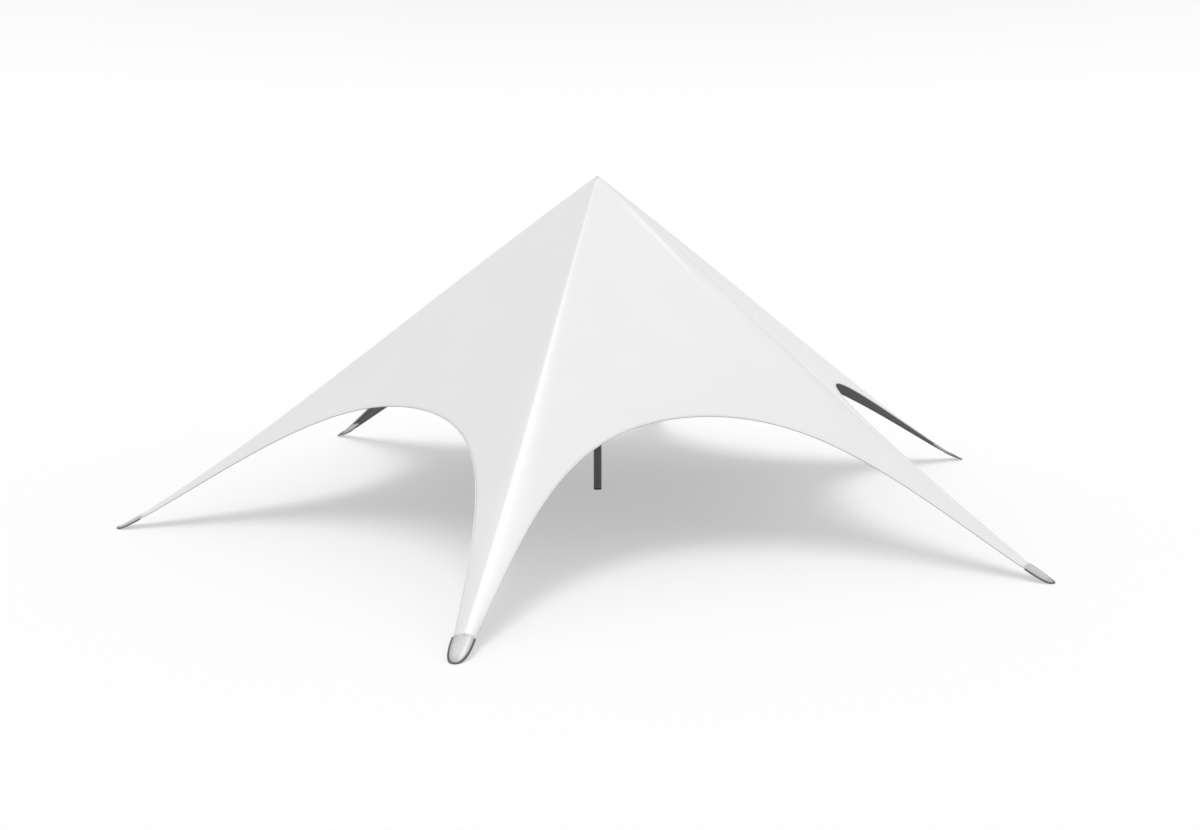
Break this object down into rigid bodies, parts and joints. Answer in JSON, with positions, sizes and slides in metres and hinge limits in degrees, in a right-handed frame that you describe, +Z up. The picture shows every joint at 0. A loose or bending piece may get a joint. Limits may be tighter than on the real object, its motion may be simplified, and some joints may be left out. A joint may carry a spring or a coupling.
{
  "type": "star tent",
  "caption": "Pointed star-shaped marquee: a white stretched canopy over one centre pole, with arched open sides and legs that run down to grey foot plates.",
  "frame": {"origin": "on the floor, on the axis of the centre pole", "axes": "+Z up along the pole; the front leg points along -Y and the back leg along +Y"},
  "size_m": [12.1716, 14.033, 4.9],
  "materials": {
    "canopy_cloth": "matt white coated cloth, dark grey inside",
    "grey_hem": "matt grey bound hem",
    "dark_webbing": "matt woven webbing",
    "galvanised_plate": "satin zinc-coated steel",
    "dark_pole": "satin dark grey coating",
    "pole_fittings": "satin black coating",
    "rubber_plug": "matt black rubber",
    "rubber_edging": "matt dark grey rubber",
    "black_head": "matt black moulded plastic"
  },
  "bodies": {
    "root": {"canopy_panel_front_right": "canopy_cloth", "canopy_panel_right": "canopy_cloth", "canopy_panel_back_right": "canopy_cloth", "canopy_panel_back_left": "canopy_cloth", "canopy_panel_left": "canopy_cloth", "canopy_panel_front_left": "canopy_cloth", "arch_hem_front_right": "grey_hem", "arch_hem_right": "grey_hem", "arch_hem_back_right": "grey_hem", "arch_hem_back_left": "grey_hem", "arch_hem_left": "grey_hem", "arch_hem_front_left": "grey_hem", "peak_cone": "canopy_cloth", "ridge_webbing_front": "dark_webbing", "ridge_webbing_front_right": "dark_webbing", "ridge_webbing_back_right": "dark_webbing", "ridge_webbing_back": "dark_webbing", "ridge_webbing_back_left": "dark_webbing", "ridge_webbing_front_left": "dark_webbing", "foot_plate_front": "galvanised_plate", "foot_plate_front_right": "galvanised_plate", "foot_plate_back_right": "galvanised_plate", "foot_plate_back": "galvanised_plate", "foot_plate_back_left": "galvanised_plate", "foot_plate_front_left": "galvanised_plate", "foot_edging_front": "rubber_edging", "foot_edging_front_right": "rubber_edging", "foot_edging_back_right": "rubber_edging", "foot_edging_back": "rubber_edging", "foot_edging_back_left": "rubber_edging", "foot_edging_front_left": "rubber_edging", "pole_lower_tube": "dark_pole", "pole_upper_tube": "dark_pole", "pole_joint_sleeve": "pole_fittings", "pole_spigot": "pole_fittings", "pole_foot_plug": "rubber_plug", "pole_head": "black_head"}
  },
  "joints": []
}
